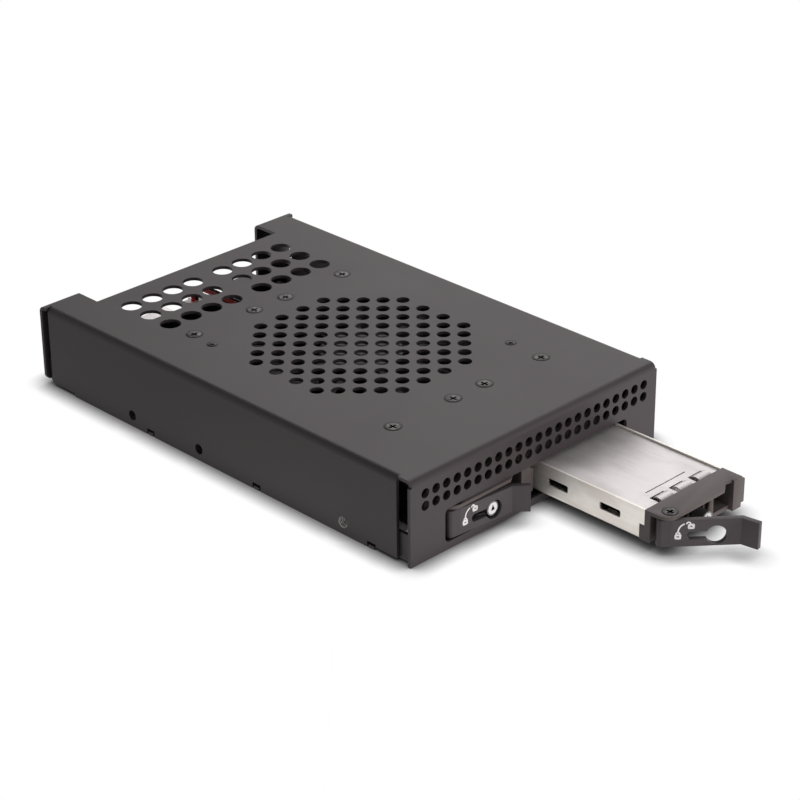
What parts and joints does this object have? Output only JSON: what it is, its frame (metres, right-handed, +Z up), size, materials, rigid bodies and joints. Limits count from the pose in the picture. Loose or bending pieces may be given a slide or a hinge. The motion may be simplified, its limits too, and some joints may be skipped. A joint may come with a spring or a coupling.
{
  "type": "drive cage with slide-in trays",
  "caption": "Folded steel drive cage for a 3.5-inch bay, with a flat fan and slim slide-in trays that have swinging levers and key locks.",
  "frame": {"origin": "middle of the cage's footprint, on the underside of the base pan", "axes": "+X to the right seen from the front, +Y to the rear, +Z up"},
  "size_m": [0.1008, 0.2203, 0.026],
  "materials": {
    "black_steel": "fine matt black coat",
    "plated_steel": "plated sheet",
    "black_screw": "black oxide",
    "bright_screw": "zinc",
    "bezel_plastic": "fine moulded grain",
    "lever_plastic": "fine moulded grain",
    "lock_metal": "dark plated",
    "fan_plastic": "moulded",
    "bronze": "sintered",
    "circuit_board": "black solder mask",
    "connector_plastic": "moulded",
    "pale_plastic": "moulded",
    "thermal_pad": "soft",
    "red_wire": "insulation",
    "black_wire": "insulation"
  },
  "bodies": {
    "cage": {"top_cover": "black_steel", "base_pan": "black_steel", "left_bay_frame": "black_steel", "right_bay_frame": "black_steel", "standoffs": "bright_screw", "cover_screws": "black_screw", "fan_screws": "black_screw", "backplane_screws": "bright_screw", "fan_frame": "fan_plastic", "fan_bearing": "bronze", "backplane_board": "circuit_board", "left_tray_socket": "connector_plastic", "right_tray_socket": "connector_plastic", "left_data_port": "plated_steel", "right_data_port": "plated_steel", "power_inlet": "connector_plastic", "fan_header": "pale_plastic", "fan_plug": "pale_plastic", "fan_lead_red": "red_wire", "fan_lead_black": "black_wire"},
    "fan_wheel": {"fan_rotor": "fan_plastic"},
    "left_tray": {"left_tray_shell": "plated_steel", "left_tray_lid": "plated_steel", "left_tray_board": "circuit_board", "left_drive_socket": "connector_plastic", "left_drive_post": "bright_screw", "left_thermal_pad": "thermal_pad", "left_bezel": "bezel_plastic", "left_pivot_screw": "black_screw"},
    "left_lever_arm": {"left_lever": "lever_plastic"},
    "left_lock": {"left_lock_barrel": "lock_metal"},
    "right_tray": {"right_tray_shell": "plated_steel", "right_tray_lid": "plated_steel", "right_tray_board": "circuit_board", "right_drive_socket": "connector_plastic", "right_drive_post": "bright_screw", "right_thermal_pad": "thermal_pad", "right_bezel": "bezel_plastic", "right_pivot_screw": "black_screw"},
    "right_lever_arm": {"right_lever": "lever_plastic"},
    "right_lock": {"right_lock_barrel": "lock_metal"}
  },
  "joints": [
    {"name": "fan_spin", "type": "hinge", "parent": "cage", "child": "fan_wheel", "pos_m": [-0.00075, -0.0086, 0.02], "axis": [0, 0, 1], "continuous": true},
    {"name": "left_tray_slide", "type": "slide", "parent": "cage", "child": "left_tray", "axis": [0, -1, 0], "range_m": [0, 0.1]},
    {"name": "left_lever_swing", "type": "hinge", "parent": "left_tray", "child": "left_lever_arm", "pos_m": [-0.0312, -0.07555, 0.007], "axis": [0, 0, -1], "range_deg": [0, 45]},
    {"name": "left_lock_turn", "type": "hinge", "parent": "left_tray", "child": "left_lock", "pos_m": [-0.0189, -0.074, 0.0062], "axis": [0, -1, 0], "range_deg": [0, 90]},
    {"name": "right_tray_slide", "type": "slide", "parent": "cage", "child": "right_tray", "axis": [0, -1, 0], "range_m": [-0.04535, 0.05465]},
    {"name": "right_lever_swing", "type": "hinge", "parent": "right_tray", "child": "right_lever_arm", "pos_m": [0.0051, -0.1209, 0.007], "axis": [0, 0, -1], "range_deg": [-36.5, 8.5]},
    {"name": "right_lock_turn", "type": "hinge", "parent": "right_tray", "child": "right_lock", "pos_m": [0.0174, -0.11935, 0.0062], "axis": [0, -1, 0], "range_deg": [0, 90]}
  ]
}
